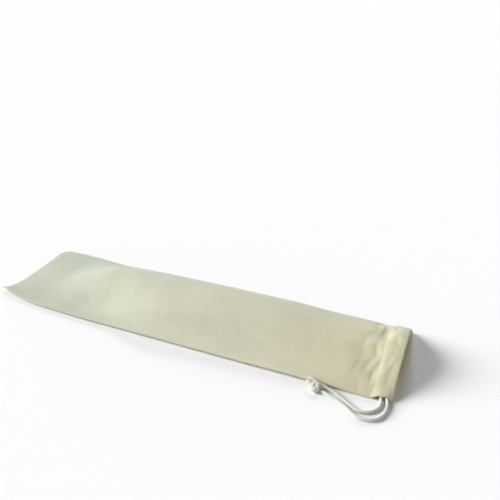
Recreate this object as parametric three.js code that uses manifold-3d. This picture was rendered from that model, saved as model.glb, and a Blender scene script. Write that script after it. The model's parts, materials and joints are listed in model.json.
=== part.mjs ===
// A long drawstring bag of unbleached cotton for one baguette, lying on its back on a table and
// standing open as a loaf leaves it: flat at the closed end, then a ramp, then a long ridge.
// Units are millimetres. +X runs from the closed end to the mouth, +Y from the seamed edge to
// the folded edge, +Z up from the surface that the bag lies on.

import * as THREE from 'three';
import { mergeVertices } from 'three/addons/utils/BufferGeometryUtils.js';
import Module from 'manifold-3d';

// ---- Driving dimensions ----
const CLOSED_X = -356; // the seam across the closed end
const MOUTH_X = 357; // the two corners of the mouth
const WALL = 1.2; // one layer of cloth with its air
const GAP = 0.3; // between pieces that touch
const CORD = 5; // diameter of the drawstring
const HEM = 27; // depth of the casing that the drawstring runs in
const CASING = 9; // thickness of the casing with the drawstring inside
const CORNER_R = 22; // the turned far corner
const RIDGE_Y = 2; // the line that the loaf lies on
const SEAM_INSET = 6; // from an edge to where the layers come apart
const CASING_INSET = 14; // and this much more in the casing
const END_SEAM = 9; // the same at the closed end

// What lifts and draws the cloth. A pair says where each one starts and where it is full.
const HOVER = { height: 3, x: [322, 262], y: [-62, -95] }; // the seamed edge, off the table
const WAVE = { height: 1.6, x: 212, along: 60 }; // and a little more beside the knot
const FOLDED_EDGE = { height: 1, y: [70, 95] }; // the roundness of the fold
// The near corner of the closed end is drawn out and lifted, and the seam beside it draws in.
const TIP = { lift: 3.5, liftY: [-30, -72], out: 8, outY: [-46, -72], x: [-285, -356] };
const WAIST = { by: 3, half: 72, x: [-310, -356] };

// The mouth. Both layers bulge out of it between the corners, the casing stands open at the
// seamed edge, where the drawstring comes out, and is rounded where it turns at the fold.
const LOWER_LIP = 7.5;
const UPPER_LIP = 2.5;
const LIP_HALF_WIDTH = 92;
const SLIT_LIPS = { height: 6.5, x: [MOUTH_X - HEM - 10, MOUTH_X - HEM], width: 16 };
const TURN = { height: 5, rise: 4, fall: 14 }; // powers of its rise and its fall at the edge
const CORD_RISE = 1.2; // the upper layer over the drawstring

// Where the fullness runs out towards an edge, as shares of the way to it from the middle. The
// loft runs out with a power of that way.
const RUN_OUT = { loft: 6, folds: [1, 0.8], drawstring: [1, 0.98] };

// Sections across the bag. near and far are the Y of the seamed and the folded edge, loft is how
// far apart the empty layers lie, and crown is the height of the ridge in the upper layer. The
// peaks are its roundness towards both edges, 1 for a tent and 2 for a round arch.
const SECTIONS = [
  { x: -356, near: -72.5, far: 95, loft: 0.2, crown: 0, nearPeak: 1.3, farPeak: 1.3 },
  { x: -342, near: -78, far: 95, loft: 2.4, crown: 0, nearPeak: 1.3, farPeak: 1.3 },
  { x: -320, near: -84, far: 95, loft: 4.6, crown: 0.5, nearPeak: 1.3, farPeak: 1.3 },
  { x: -295, near: -89, far: 95, loft: 5.4, crown: 2, nearPeak: 1.25, farPeak: 1.3 },
  { x: -268, near: -91.5, far: 94, loft: 5.0, crown: 5.5, nearPeak: 1.15, farPeak: 1.3 },
  { x: -240, near: -93, far: 92, loft: 4.0, crown: 15, nearPeak: 1.05, farPeak: 1.35 },
  { x: -210, near: -94, far: 90, loft: 3.0, crown: 27, nearPeak: 1.0, farPeak: 1.45 },
  { x: -180, near: -95, far: 88, loft: 2.0, crown: 37, nearPeak: 0.98, farPeak: 1.7 },
  { x: -140, near: -95, far: 87, loft: 1.0, crown: 44, nearPeak: 1.08, farPeak: 1.85 },
  { x: -80, near: -95, far: 86, loft: 1.0, crown: 47.5, nearPeak: 1.5, farPeak: 1.85 },
  { x: 0, near: -95, far: 86, loft: 1.0, crown: 50, nearPeak: 2.2, farPeak: 1.8 },
  { x: 100, near: -95, far: 86, loft: 1.0, crown: 52, nearPeak: 2.1, farPeak: 1.8 },
  { x: 180, near: -95, far: 86, loft: 1.0, crown: 51, nearPeak: 1.8, farPeak: 1.8 },
  { x: 250, near: -95, far: 86, loft: 1.0, crown: 47.5, nearPeak: 1.8, farPeak: 1.8 },
  { x: 310, near: -94, far: 86, loft: 1.0, crown: 47, nearPeak: 1.8, farPeak: 1.8 },
  { x: 343, near: -92, far: 87, loft: 1.0, crown: 48.5, nearPeak: 1.8, farPeak: 1.8 },
  { x: 357, near: -90, far: 88, loft: 1.0, crown: 48, nearPeak: 1.8, farPeak: 1.8 },
];

// Soft folds in the upper layer: where each one is, how far it reaches along the bag and across
// it, and how deep it is. A negative depth is a ridge.
const FOLDS = [
  { x: 318, y: 44, along: 20, across: 13, depth: 3.5 },
  { x: 352, y: 66, along: 14, across: 16, depth: 2.5 },
  { x: 306, y: -42, along: 20, across: 10, depth: 3.0 },
  { x: 316, y: -62, along: 14, across: 9, depth: 2.8 },
  { x: 320, y: -4, along: 12, across: 10, depth: 2.2 },
  { x: 312, y: 14, along: 16, across: 12, depth: -1.2 },
  { x: -285, y: -30, along: 70, across: 14, depth: 1.6 },
  { x: -250, y: -70, along: 60, across: 9, depth: 1.2 },
  { x: -185, y: -70, along: 50, across: 16, depth: 2.0 },
  { x: -45, y: -75, along: 85, across: 24, depth: -9.0 },
];

// Where the sections are built, in runs of equal steps. The cloth is doubled over CASING_STEP
// before the casing.
const CASING_STEP = 4;
const RUNS = [
  { to: CLOSED_X + 4, steps: 2 },
  { to: CLOSED_X + CORNER_R, steps: 3 },
  { to: -130, steps: 10 },
  { to: 250, steps: 10 },
  { to: MOUTH_X - HEM - CASING_STEP, steps: 6 },
  { to: MOUTH_X - HEM, steps: 1 },
  { to: MOUTH_X, steps: 6 },
];
const ACROSS = 18; // steps across each layer

// ---- The shape of the cloth ----
const at = (p) => new THREE.Vector3(...p);
const clamp01 = (t) => Math.min(Math.max(t, 0), 1);
const smooth = (t) => clamp01(t) ** 2 * (3 - 2 * clamp01(t));
const ramp = ([start, full], v) => clamp01((v - start) / (full - start));

// A row of SECTIONS at any x, eased from row to row so that the bag has no kinks.
function sectionAt(x) {
  const last = SECTIONS.length - 2;
  const next = SECTIONS.findIndex((row) => row.x > x);
  const k = next < 0 ? last : Math.max(next - 1, 0);
  const [a, b] = [SECTIONS[k], SECTIONS[k + 1]];
  const before = SECTIONS[Math.max(k - 1, 0)];
  const after = SECTIONS[Math.min(k + 2, last + 1)];
  const span = b.x - a.x;
  const t = clamp01((x - a.x) / span);
  const row = {};
  for (const key of ['near', 'far', 'loft', 'crown', 'nearPeak', 'farPeak']) {
    const slopeA = k === 0 ? 0 : ((b[key] - before[key]) / (b.x - before.x)) * span;
    const slopeB = k === last ? 0 : ((after[key] - a[key]) / (after.x - a.x)) * span;
    row[key] =
      (2 * t ** 3 - 3 * t ** 2 + 1) * a[key] +
      (t ** 3 - 2 * t ** 2 + t) * slopeA +
      (3 * t ** 2 - 2 * t ** 3) * b[key] +
      (t ** 3 - t ** 2) * slopeB;
  }
  const fromEnd = Math.min(x - CLOSED_X, CORNER_R);
  row.far -= CORNER_R - Math.sqrt(CORNER_R ** 2 - (CORNER_R - fromEnd) ** 2);
  return row;
}

// How full the casing is at x: 0 at the mouth and at its stitching, 1 halfway.
const casingFill = (x) => Math.sin(Math.PI * ramp([MOUTH_X - HEM, MOUTH_X], x)) ** 0.4;

// Height of the underside. It is flat where the bag rests and rises to both edges.
function underside(x, y) {
  const wave = WAVE.height * Math.exp(-(((x - WAVE.x) / WAVE.along) ** 2));
  const hover = (HOVER.height + wave) * smooth(ramp(HOVER.x, x)) * ramp(HOVER.y, y) ** 2;
  const foldedEdge = FOLDED_EDGE.height * ramp(FOLDED_EDGE.y, y) ** 2;
  const tip = TIP.lift * (ramp(TIP.x, x) * ramp(TIP.liftY, y)) ** 1.5;
  return hover + foldedEdge + tip;
}

// Thickness of the whole bag at (x, y), from the underside to the top.
function fullness(x, y) {
  const { near, far, loft, crown, nearPeak, farPeak } = sectionAt(x);
  const [reach, peak] = y < RIDGE_Y ? [RIDGE_Y - near, nearPeak] : [far - RIDGE_Y, farPeak];
  const fromRidge = clamp01(Math.abs(y - RIDGE_Y) / reach);
  const fromMiddle = clamp01(Math.abs((2 * (y - near)) / (far - near) - 1));
  const turn = y > 0 ? TURN.height * fromMiddle ** TURN.rise * (1 - fromMiddle ** TURN.fall) : 0;
  const fromSlit = ramp([SLIT_LIPS.width, 0], y - near);
  const lips = SLIT_LIPS.height * smooth(ramp(SLIT_LIPS.x, x)) * fromSlit ** 2;
  let fold = 0;
  for (const f of FOLDS) {
    fold += f.depth * Math.exp(-(((x - f.x) / f.along) ** 2) - ((y - f.y) / f.across) ** 2);
  }
  const empty = loft * (1 - fromMiddle ** RUN_OUT.loft);
  const cloth = 2 * WALL + empty + crown * (1 - fromRidge ** peak);
  const drawstring = casingFill(x) * (CORD_RISE + turn) * ramp(RUN_OUT.drawstring, fromMiddle);
  return cloth + drawstring + lips - fold * ramp(RUN_OUT.folds, fromMiddle);
}

const topAt = (x, y) => underside(x, y) + fullness(x, y);

// Steepness of the top across the bag, as the length of a slanted step of 1.
const slant = (x, y) => Math.hypot(1, topAt(x, y + 0.5) - topAt(x, y - 0.5));

// Thickness of the cloth at x: one layer, and in the casing two with the drawstring between.
function wallAt(x) {
  const layers = 1 + ramp([MOUTH_X - HEM - CASING_STEP, MOUTH_X - HEM], x);
  return WALL * layers + (CASING - 2 * WALL) * casingFill(x);
}

// Moves a point of the straight bag to where it lies: a corner drawn out and a seam drawn in at
// the closed end, and lips that bulge at the mouth.
function place(x, y, z, lip) {
  const tip = TIP.out * ramp(TIP.x, x) ** 2 * ramp(TIP.outY, y) ** 2;
  const waist = WAIST.by * ramp(WAIST.x, x) * (1 - (y / WAIST.half) ** 2);
  const nearMouth = smooth(ramp([MOUTH_X - 2 * HEM, MOUTH_X], x));
  const bulge = lip * nearMouth * (1 - (y / LIP_HALF_WIDTH) ** 2);
  return new THREE.Vector3(x - tip + waist + bulge, y, z);
}

// One closed loop across the bag: over the top from the near edge, and back underneath.
// Even steps would leave the edges coarse, so they crowd towards both edges.
function loopAt(x, inside) {
  const { near, far } = sectionAt(x);
  const inset = inside ? SEAM_INSET + CASING_INSET * casingFill(x) : 0;
  const middle = (near + far) / 2;
  const half = (far - near) / 2 - inset;
  const loop = [];
  for (let i = 0; i < 2 * ACROSS; i += 1) {
    const over = i <= ACROSS;
    const y = middle - half * Math.cos((Math.PI * i) / ACROSS);
    const low = underside(x, y) + (inside ? wallAt(x) : 0);
    const high = topAt(x, y) - (inside ? wallAt(x) * slant(x, y) : 0);
    const isEdge = i % ACROSS === 0;
    const z = isEdge ? low + (inside ? (high - low) / 2 : WALL) : over ? high : low;
    loop.push(place(x, y, z, over ? UPPER_LIP : LOWER_LIP));
  }
  return loop;
}

// ---- Meshes ----
// Joins a row of equal loops into a skin, and closes it at the ends that are named.
function skin(loops, capFirst, capLast) {
  const n = loops[0].length;
  const positions = loops.flat().flatMap((p) => [p.x, p.y, p.z]);
  const index = [];
  for (let k = 0; k + 1 < loops.length; k += 1) {
    for (let i = 0; i < n; i += 1) {
      const a = k * n + i;
      const b = k * n + ((i + 1) % n);
      index.push(a, a + n, b, b, a + n, b + n);
    }
  }
  const cap = (base, flip) => {
    for (let i = 0; i < n / 2; i += 1) {
      const ring = [i, i + 1, (n - i - 1) % n, (n - i) % n].map((j) => base + j);
      const triangles = [
        [ring[0], ring[1], ring[2]],
        [ring[0], ring[2], ring[3]],
      ];
      for (const t of triangles) {
        if (new Set(t).size === 3) index.push(...(flip ? [t[0], t[2], t[1]] : t));
      }
    }
  };
  if (capFirst) cap(0, false);
  if (capLast) cap((loops.length - 1) * n, true);
  return { positions, index };
}

function geometryOf({ positions, index }) {
  const geometry = new THREE.BufferGeometry();
  geometry.setAttribute('position', new THREE.Float32BufferAttribute(positions, 3));
  geometry.setIndex(index);
  return geometry;
}

// The bag without its tunnel: an outer skin, an inner skin turned inside out, and the rim.
function shellGeometry() {
  const xs = [CLOSED_X];
  for (const run of RUNS) {
    const from = xs[xs.length - 1];
    for (let i = 1; i <= run.steps; i += 1) xs.push(from + ((run.to - from) * i) / run.steps);
  }
  const insideXs = [CLOSED_X + END_SEAM, ...xs.filter((x) => x > CLOSED_X + 1.5 * END_SEAM)];
  const outer = skin(xs.map((x) => loopAt(x, false)), true, false);
  const inner = skin(insideXs.map((x) => loopAt(x, true)), true, false);
  const n = 2 * ACROSS;
  const shift = outer.positions.length / 3;
  const index = [...outer.index];
  for (let i = 0; i < inner.index.length; i += 3) {
    const [a, b, c] = inner.index.slice(i, i + 3);
    index.push(a + shift, c + shift, b + shift);
  }
  const outerRim = (xs.length - 1) * n;
  const innerRim = shift + (insideXs.length - 1) * n;
  for (let i = 0; i < n; i += 1) {
    const j = (i + 1) % n;
    index.push(outerRim + i, innerRim + i, outerRim + j);
    index.push(outerRim + j, innerRim + i, innerRim + j);
  }
  return geometryOf({ positions: [...outer.positions, ...inner.positions], index });
}

// ---- The drawstring's way ----
// It lies in the middle of the casing, over the top and back underneath, and turns at the fold.
const CASING_X = MOUTH_X - HEM / 2;
const RING = {
  nearInset: 16, // from the seamed edge to both ends
  farInset: 22, // from the fold to where it starts to turn
  turnInset: 12.5, // and to the middle of the turn
  turnHeight: 9.4,
  overPoints: 8,
  underPoints: 6,
  steps: 38,
};

function ringCurve() {
  const { near, far } = sectionAt(CASING_X);
  const first = near + RING.nearInset;
  const last = far - RING.farInset;
  const points = [];
  for (let i = 0; i <= RING.overPoints; i += 1) {
    const y = first + ((last - first) * i) / RING.overPoints;
    const z = topAt(CASING_X, y) - (CASING / 2) * slant(CASING_X, y);
    points.push(place(CASING_X, y, z, UPPER_LIP));
  }
  points.push(place(CASING_X, far - RING.turnInset, RING.turnHeight, LOWER_LIP));
  for (let i = 0; i <= RING.underPoints; i += 1) {
    const y = last + ((first - last) * i) / RING.underPoints;
    points.push(place(CASING_X, y, CASING / 2, LOWER_LIP));
  }
  return new THREE.CatmullRomCurve3(points, false, 'centripetal');
}

// The tunnel in the casing: a flat lens swept along the ring, and on into the slit at both ends.
const TUNNEL = {
  sides: 12,
  halfWidth: HEM / 2 - 3.5,
  halfHeight: CASING / 2 - WALL,
  upperEnd: [[342.8, -92, 4.9], [342.5, -87, 5.9], [343.2, -81.8, 8.5]],
  lowerEnd: [[344.8, -80, 4.5], [345.2, -85, 4.5]],
};

function tunnelGeometry(ring) {
  const middle = ring.getSpacedPoints(RING.steps);
  const way = [...TUNNEL.upperEnd.map(at), ...middle, ...TUNNEL.lowerEnd.map(at)];
  const loops = way.map((p, k) => {
    const before = way[Math.max(k - 1, 0)];
    const after = way[Math.min(k + 1, way.length - 1)];
    const along = after.clone().sub(before).normalize();
    const normal = new THREE.Vector3(0, -along.z, along.y).normalize();
    const across = new THREE.Vector3().crossVectors(along, normal);
    const loop = [];
    for (let i = 0; i < TUNNEL.sides; i += 1) {
      const angle = (2 * Math.PI * i) / TUNNEL.sides;
      const corner = p.clone().addScaledVector(across, TUNNEL.halfWidth * Math.cos(angle));
      loop.push(corner.addScaledVector(normal, TUNNEL.halfHeight * Math.sin(angle)));
    }
    return loop;
  });
  return geometryOf(skin(loops, true, true));
}

// The slit at the seamed edge, where the casing is left open and both strands come out.
const SLIT = {
  x: [MOUTH_X - HEM + 1, MOUTH_X - 2.5],
  z: [1.5, 7.9],
  depth: 19, // from the seamed edge into the casing
  outside: 8, // past the edge, to cut it clean
};

function slitGeometry() {
  const { near } = sectionAt(CASING_X);
  const low = new THREE.Vector3(SLIT.x[0], near - SLIT.outside, SLIT.z[0]);
  const high = new THREE.Vector3(SLIT.x[1], near + SLIT.depth, SLIT.z[1]);
  const size = high.clone().sub(low);
  const middle = low.clone().add(high).multiplyScalar(0.5);
  return new THREE.BoxGeometry(size.x, size.y, size.z).translate(middle.x, middle.y, middle.z);
}

// Free strands: one from the lower casing, which lies outside, and one from the upper casing.
const OUTER_ROUTE = [
  [344.96, -76.26, 4.5],
  [344.8, -78.9, 4.5],
  [347.2, -83.4, 4.4],
  [350.2, -88.3, 4.4],
  [352.4, -93.5, 4.1],
  [353.8, -99.5, 3.2],
  [354.4, -106, 2.7],
  [354.2, -114, 2.6],
  [352, -123, 2.6],
  [347, -131, 2.6],
  [339, -136.5, 2.6],
  [330, -139, 2.6],
  [320, -138.5, 2.6],
  [310, -133, 2.6],
  [298, -124.5, 2.6],
  [285, -117.5, 2.6],
  [272, -112.5, 2.6],
  [262, -108.5, 2.9],
];
const INNER_ROUTE = [
  [344.16, -76.2, 12.13],
  [344.06, -78.3, 10.54],
  [342.8, -82.3, 8.1],
  [342.2, -86.5, 5.8],
  [342.9, -91, 4.6],
  [344.2, -96.5, 3.6],
  [344.9, -102, 2.8],
  [344.4, -108, 2.6],
  [341.5, -114.5, 2.6],
  [336, -121, 2.6],
  [328, -125.5, 2.6],
  [319, -126.5, 2.6],
  [309, -122.5, 2.6],
  [298, -115.5, 2.6],
  [288, -109.5, 2.8],
  [278, -104.5, 3.6],
  [269, -101.8, 5.0],
  [262, -101.0, 7.0],
];

const curveOf = (route) => new THREE.CatmullRomCurve3(route.map(at), false, 'centripetal');
const CORD_SIDES = { free: 10, hidden: 8 };
const STRAND_STEPS = 17;

function cordGeometry(curve, diameter, sides, steps) {
  const circle = new THREE.Shape();
  for (let i = 0; i < sides; i += 1) {
    const angle = (2 * Math.PI * i) / sides;
    const [u, v] = [(diameter / 2) * Math.cos(angle), (diameter / 2) * Math.sin(angle)];
    if (i === 0) circle.moveTo(u, v);
    else circle.lineTo(u, v);
  }
  circle.closePath();
  return new THREE.ExtrudeGeometry(circle, { steps, extrudePath: curve, bevelEnabled: false });
}

// ---- The knot ----
// Both strands are tied together in one overhand knot: each follows a trefoil on a small ring,
// side by side, and ends in a short tail.
const KNOT = {
  center: [250.5, -106.5, 6.1],
  cord: 4.3, // the strands are squeezed a little
  ring: 4.5, // radius of the ring
  tube: 2.0, // half the distance of two passes
  beside: 1.8, // half the distance of the two strands
  narrow: 0.85, // the ring is pulled narrower along the bag
  tilt: 0.3, // it leans against the bag's edge
  open: 0.2, // where the trefoil starts and ends
  stub: 2.5, // straight piece before it
  points: 22, // along the trefoil
  sides: 8,
  steps: 32,
  lengths: 4, // each strand is made in so many lengths, which overlap
};
const KNOT_ENDS = [
  { side: -1, route: OUTER_ROUTE, tail: [[241.5, -103.5, 9.4], [235, -102, 9]] },
  { side: 1, route: INNER_ROUTE, tail: [[242.5, -97.5, 11.6], [236, -96, 11.4]] },
];

// The point that lies a distance past a route's last one, straight on.
function beyond(route, distance) {
  const [before, last] = route.slice(-2).map(at);
  return last.clone().addScaledVector(last.clone().sub(before).normalize(), distance);
}

function knotCurve(side, route, tail) {
  const points = [beyond(route, GAP), beyond(route, GAP + KNOT.stub)];
  const lean = new THREE.Matrix4().makeRotationX(KNOT.tilt);
  for (let i = 0; i <= KNOT.points; i += 1) {
    const phi = KNOT.open + ((2 * Math.PI - 2 * KNOT.open) * i) / KNOT.points;
    const around = 2 * phi + Math.PI / 2;
    const beside = side * KNOT.beside;
    const out = KNOT.ring + KNOT.tube * Math.cos(3 * phi) - beside * Math.sin(3 * phi);
    const up = KNOT.tube * Math.sin(3 * phi) + beside * Math.cos(3 * phi);
    const onRing = at([KNOT.narrow * out * Math.cos(around), out * Math.sin(around), up]);
    points.push(onRing.applyMatrix4(lean).add(at(KNOT.center)));
  }
  points.push(...tail.map(at));
  return new THREE.CatmullRomCurve3(points, false, 'centripetal');
}

// ---- Joining and cutting ----
const wasm = await Module();
wasm.setup();

function solidOf(geometry) {
  const bare = geometry.clone();
  bare.deleteAttribute('normal');
  bare.deleteAttribute('uv');
  const merged = mergeVertices(bare, 1e-4);
  const vertProperties = new Float32Array(merged.attributes.position.array);
  const triVerts = new Uint32Array(merged.index.array);
  return new wasm.Manifold(new wasm.Mesh({ numProp: 3, vertProperties, triVerts }));
}

function geometryFrom(solid) {
  const mesh = solid.getMesh();
  return geometryOf({ positions: [...mesh.vertProperties], index: [...mesh.triVerts] });
}

// ---- Pieces ----
const cotton = { color: '#d3cdb5', roughness: 0.92, metalness: 0 };
const cordCotton = { color: '#dedbd0', roughness: 0.85, metalness: 0 };

function piece(name, geometry, finish) {
  geometry.computeVertexNormals();
  const mesh = new THREE.Mesh(geometry, new THREE.MeshStandardMaterial(finish));
  mesh.name = name;
  return mesh;
}

// The drawstring clears its own way where the tunnel turns tightly at the fold.
function bag(ring) {
  const ownWay = cordGeometry(ring, CORD + 2 * GAP, CORD_SIDES.hidden, RING.steps);
  const cuts = [tunnelGeometry(ring), ownWay, slitGeometry()];
  const cloth = cuts.reduce((rest, cut) => rest.subtract(solidOf(cut)), solidOf(shellGeometry()));
  return piece('bag', geometryFrom(cloth), cotton);
}

// The passes press into each other where the knot is tight, so the strands are joined length by
// length into one outer skin.
function knot() {
  const solids = KNOT_ENDS.flatMap(({ side, route, tail }) => {
    const places = knotCurve(side, route, tail).getSpacedPoints(KNOT.steps);
    const steps = KNOT.steps / KNOT.lengths;
    return Array.from({ length: KNOT.lengths }, (_, k) => {
      const some = places.slice(Math.max(k * steps - 1, 0), (k + 1) * steps + 1);
      const line = new THREE.CatmullRomCurve3(some, false, 'centripetal');
      return solidOf(cordGeometry(line, KNOT.cord, KNOT.sides, some.length - 1));
    });
  });
  const skins = solids.reduce((all, next) => all.add(next)).decompose();
  skins.sort((a, b) => b.volume() - a.volume());
  return piece('drawstring_knot', geometryFrom(skins[0]), cordCotton);
}

function cord(name, curve, sides, steps) {
  return piece(name, cordGeometry(curve, CORD, sides, steps), cordCotton);
}

const ring = ringCurve();
const outerStrand = curveOf(OUTER_ROUTE);
const innerStrand = curveOf(INNER_ROUTE);
const group = new THREE.Group();
group.add(bag(ring));
group.add(cord('drawstring_in_casing', ring, CORD_SIDES.hidden, RING.steps));
group.add(cord('drawstring_outer_strand', outerStrand, CORD_SIDES.free, STRAND_STEPS));
group.add(cord('drawstring_inner_strand', innerStrand, CORD_SIDES.free, STRAND_STEPS));
group.add(knot());
export default group;
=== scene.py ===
"""Looks of a cotton drawstring bag for a baguette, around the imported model.

The bag is one thin shell of cloth: an outer layer, a casing turned inwards at the mouth, and the
slit at the seam where the drawstring comes out. The drawstring is a plaited cord. Shapes are
worked out in millimetres and become metres where a mesh is made.
"""

import itertools
import json
import math
from bisect import bisect_left

import bpy
from mathutils import Matrix, Vector, noise
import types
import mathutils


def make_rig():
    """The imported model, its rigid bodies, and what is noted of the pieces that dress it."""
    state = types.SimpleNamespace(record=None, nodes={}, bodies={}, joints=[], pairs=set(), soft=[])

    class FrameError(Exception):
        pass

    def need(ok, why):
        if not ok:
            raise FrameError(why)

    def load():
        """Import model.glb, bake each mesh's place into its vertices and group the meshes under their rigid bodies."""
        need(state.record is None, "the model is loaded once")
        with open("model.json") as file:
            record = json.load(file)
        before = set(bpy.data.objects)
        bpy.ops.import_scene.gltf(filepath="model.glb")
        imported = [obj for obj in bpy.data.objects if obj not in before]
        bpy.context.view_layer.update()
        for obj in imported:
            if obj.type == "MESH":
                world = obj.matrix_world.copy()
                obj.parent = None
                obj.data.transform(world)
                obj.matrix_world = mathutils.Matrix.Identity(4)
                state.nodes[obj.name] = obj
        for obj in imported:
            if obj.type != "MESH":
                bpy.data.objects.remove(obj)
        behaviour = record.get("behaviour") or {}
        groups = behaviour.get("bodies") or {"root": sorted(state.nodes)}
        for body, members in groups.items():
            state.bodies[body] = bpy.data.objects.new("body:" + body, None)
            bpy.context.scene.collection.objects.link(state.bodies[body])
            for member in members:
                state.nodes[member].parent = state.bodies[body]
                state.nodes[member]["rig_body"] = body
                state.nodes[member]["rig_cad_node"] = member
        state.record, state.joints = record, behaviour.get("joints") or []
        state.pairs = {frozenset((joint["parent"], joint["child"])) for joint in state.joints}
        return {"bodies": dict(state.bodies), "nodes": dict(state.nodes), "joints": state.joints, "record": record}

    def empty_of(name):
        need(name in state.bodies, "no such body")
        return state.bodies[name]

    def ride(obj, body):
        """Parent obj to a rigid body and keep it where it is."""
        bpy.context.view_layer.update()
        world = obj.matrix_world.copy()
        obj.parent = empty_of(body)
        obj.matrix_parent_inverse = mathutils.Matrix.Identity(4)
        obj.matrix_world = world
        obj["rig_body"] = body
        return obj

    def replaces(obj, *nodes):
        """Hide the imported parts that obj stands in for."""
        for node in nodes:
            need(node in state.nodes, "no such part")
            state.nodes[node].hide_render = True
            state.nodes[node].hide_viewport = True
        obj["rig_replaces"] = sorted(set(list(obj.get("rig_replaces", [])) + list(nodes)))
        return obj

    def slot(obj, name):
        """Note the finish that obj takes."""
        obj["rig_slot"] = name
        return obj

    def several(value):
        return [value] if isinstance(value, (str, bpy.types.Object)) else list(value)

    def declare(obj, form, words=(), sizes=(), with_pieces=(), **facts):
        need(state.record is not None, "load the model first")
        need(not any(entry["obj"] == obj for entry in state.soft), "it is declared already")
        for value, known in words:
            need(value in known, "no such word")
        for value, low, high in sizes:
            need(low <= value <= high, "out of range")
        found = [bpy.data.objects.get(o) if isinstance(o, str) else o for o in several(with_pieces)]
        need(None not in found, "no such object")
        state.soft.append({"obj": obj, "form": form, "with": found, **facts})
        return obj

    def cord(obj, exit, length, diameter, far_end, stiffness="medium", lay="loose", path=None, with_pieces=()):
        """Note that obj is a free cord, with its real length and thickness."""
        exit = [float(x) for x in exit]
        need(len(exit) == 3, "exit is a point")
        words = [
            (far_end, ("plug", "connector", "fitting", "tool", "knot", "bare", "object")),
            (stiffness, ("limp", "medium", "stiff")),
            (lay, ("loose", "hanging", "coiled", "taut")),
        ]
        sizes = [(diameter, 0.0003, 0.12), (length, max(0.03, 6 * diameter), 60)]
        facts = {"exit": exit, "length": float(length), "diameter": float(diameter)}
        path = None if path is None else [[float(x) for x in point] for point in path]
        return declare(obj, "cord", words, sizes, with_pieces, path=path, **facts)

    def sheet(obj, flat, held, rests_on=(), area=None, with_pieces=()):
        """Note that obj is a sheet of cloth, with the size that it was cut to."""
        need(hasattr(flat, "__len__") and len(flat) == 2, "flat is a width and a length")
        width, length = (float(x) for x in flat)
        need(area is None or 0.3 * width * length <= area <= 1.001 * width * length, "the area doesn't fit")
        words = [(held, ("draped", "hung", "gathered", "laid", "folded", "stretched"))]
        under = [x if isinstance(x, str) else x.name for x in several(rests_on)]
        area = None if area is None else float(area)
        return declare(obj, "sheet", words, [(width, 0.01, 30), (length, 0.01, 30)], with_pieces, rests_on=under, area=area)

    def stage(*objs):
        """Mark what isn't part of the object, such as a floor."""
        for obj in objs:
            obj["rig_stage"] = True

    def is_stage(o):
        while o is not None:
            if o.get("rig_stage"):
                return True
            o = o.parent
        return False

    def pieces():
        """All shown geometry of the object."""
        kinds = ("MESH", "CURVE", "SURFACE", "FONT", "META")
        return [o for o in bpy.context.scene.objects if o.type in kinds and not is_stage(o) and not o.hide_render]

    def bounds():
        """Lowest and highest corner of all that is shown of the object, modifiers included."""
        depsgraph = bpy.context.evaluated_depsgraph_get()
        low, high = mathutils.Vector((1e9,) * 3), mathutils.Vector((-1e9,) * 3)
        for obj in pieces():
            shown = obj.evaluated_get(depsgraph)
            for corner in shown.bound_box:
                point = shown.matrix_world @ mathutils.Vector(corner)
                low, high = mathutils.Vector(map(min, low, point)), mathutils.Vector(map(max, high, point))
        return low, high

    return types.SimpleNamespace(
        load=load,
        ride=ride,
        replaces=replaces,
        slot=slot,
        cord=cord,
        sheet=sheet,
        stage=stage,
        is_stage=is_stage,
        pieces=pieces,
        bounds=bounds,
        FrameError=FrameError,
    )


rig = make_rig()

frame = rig.load()
cad_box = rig.bounds()

MM = 0.001

# ---- The bag's sizes, in millimetres ----
CLOSED_X = -356.0  # the seam across the closed end
MOUTH_X = 357.0  # the two corners of the mouth
CLOTH = 0.9  # one layer
EDGE = 1.2  # half the thickness of the pressed edges
HEM = 27.0  # depth of the casing
CASING = 9.0  # its thickness with the drawstring inside
STITCH_X = MOUTH_X - HEM
RAW_X = STITCH_X - 3.5  # the turned layer's edge, inside
CORNER_R = 22.0
RIDGE_Y = 2.0
SEAM_INSET = 6.0  # from the near edge to the hollow
OPEN_INSET = 1.2  # the same inside the casing, where the seam is open
TURNED_INSET = 9.0  # from an edge to the turned layer
CASING_INSET = 20.0  # the same where the casing is full
SEAM_OPENS = (STITCH_X + 3, STITCH_X)  # from where the seam is open to where it is sewn
LAYER_GAP = 0.2  # between the outer layer and the turned one
END_SEAM = 9.0  # from the closed end to the hollow
CORD = 5.0

# Where the cloth leaves the table and by how much, the near corner of the closed end, which lifts
# and points out, and how far the closed end curves in. A pair of places is a span for ramp().
HOVER = {"height": 3.0, "x": (322, 262), "y": (-62, -95)}
WAVE = {"height": 1.6, "x": 212.0, "along": 60.0}
FOLDED_EDGE = {"height": 1.0, "y": (70, 95)}
TIP = {"x": (-285, -356), "lift": 3.5, "lift_y": (-30, -72), "bend": 1.5, "out": 8.0, "out_y": (-46, -72)}
WAIST = {"x": (-310, -356), "by": 3.0, "half": 72.0}

# The mouth, its casing and the slit at the seam.
LOWER_LIP = 7.5  # how far each layer of the mouth bulges out
UPPER_LIP = 2.5
LIP_HALF_WIDTH = 92.0
SLIT = {"from": STITCH_X + 1, "to": MOUTH_X - 2.5}
SLIT_LIPS = {"height": 6.5, "x": (STITCH_X - 3, STITCH_X + 11), "width": 16.0}  # how they part
SLIT_LIPS_CLOSE = {"by": 0.6, "x": (SLIT["to"] - 4, SLIT["to"] + 2)}  # and close again
TURN = {"height": 5.0, "rise": 4, "fall": 14}  # the drawstring's turn at the folded edge
CORD_RISE = 1.2  # how far the drawstring raises the casing
FILL_SHARPNESS = 0.4
GROOVE = {"depth": 0.5, "width": 1.8, "upper": 1.3}  # along the stitching
LOFT_SHARPNESS = 6

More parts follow.
